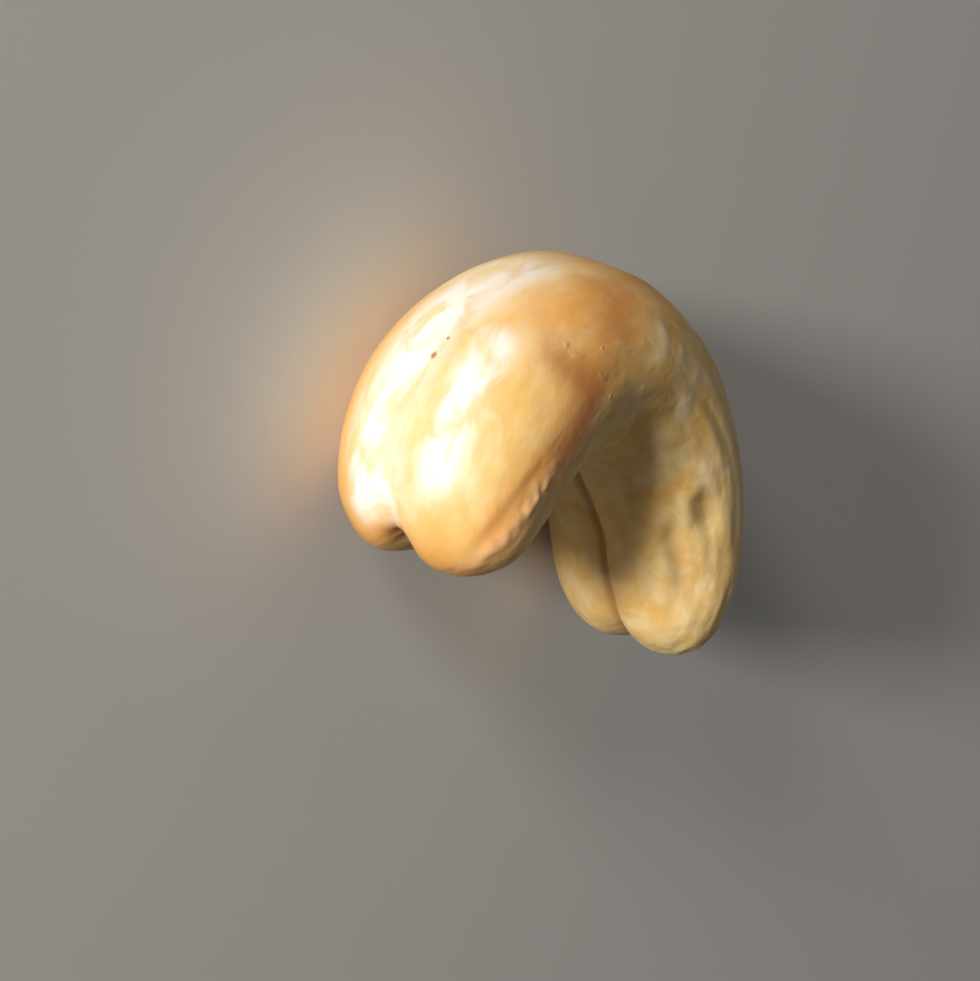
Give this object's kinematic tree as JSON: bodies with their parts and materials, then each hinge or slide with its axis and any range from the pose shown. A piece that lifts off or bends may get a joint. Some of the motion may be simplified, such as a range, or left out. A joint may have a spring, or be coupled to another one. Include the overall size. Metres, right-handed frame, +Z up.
{
  "type": "cashew nut",
  "caption": "Whole shelled cashew kernel, a deeply hooked kidney form of two joined lobes, lying on its flank.",
  "frame": {"origin": "on the surface that the kernel lies on, under the middle of its bounding box", "axes": "+X along the length, from the fuller near limb to the slimmer far limb; +Y to the convex back, away from the bay between the limbs; +Z up, through the thickness"},
  "size_m": [0.0258, 0.0172, 0.0113],
  "materials": {
    "kernel": "satin, cream to golden tan, with reddish brown edges, as a lightly roasted nut"
  },
  "bodies": {
    "root": {"cashew_kernel": "kernel"}
  },
  "joints": []
}
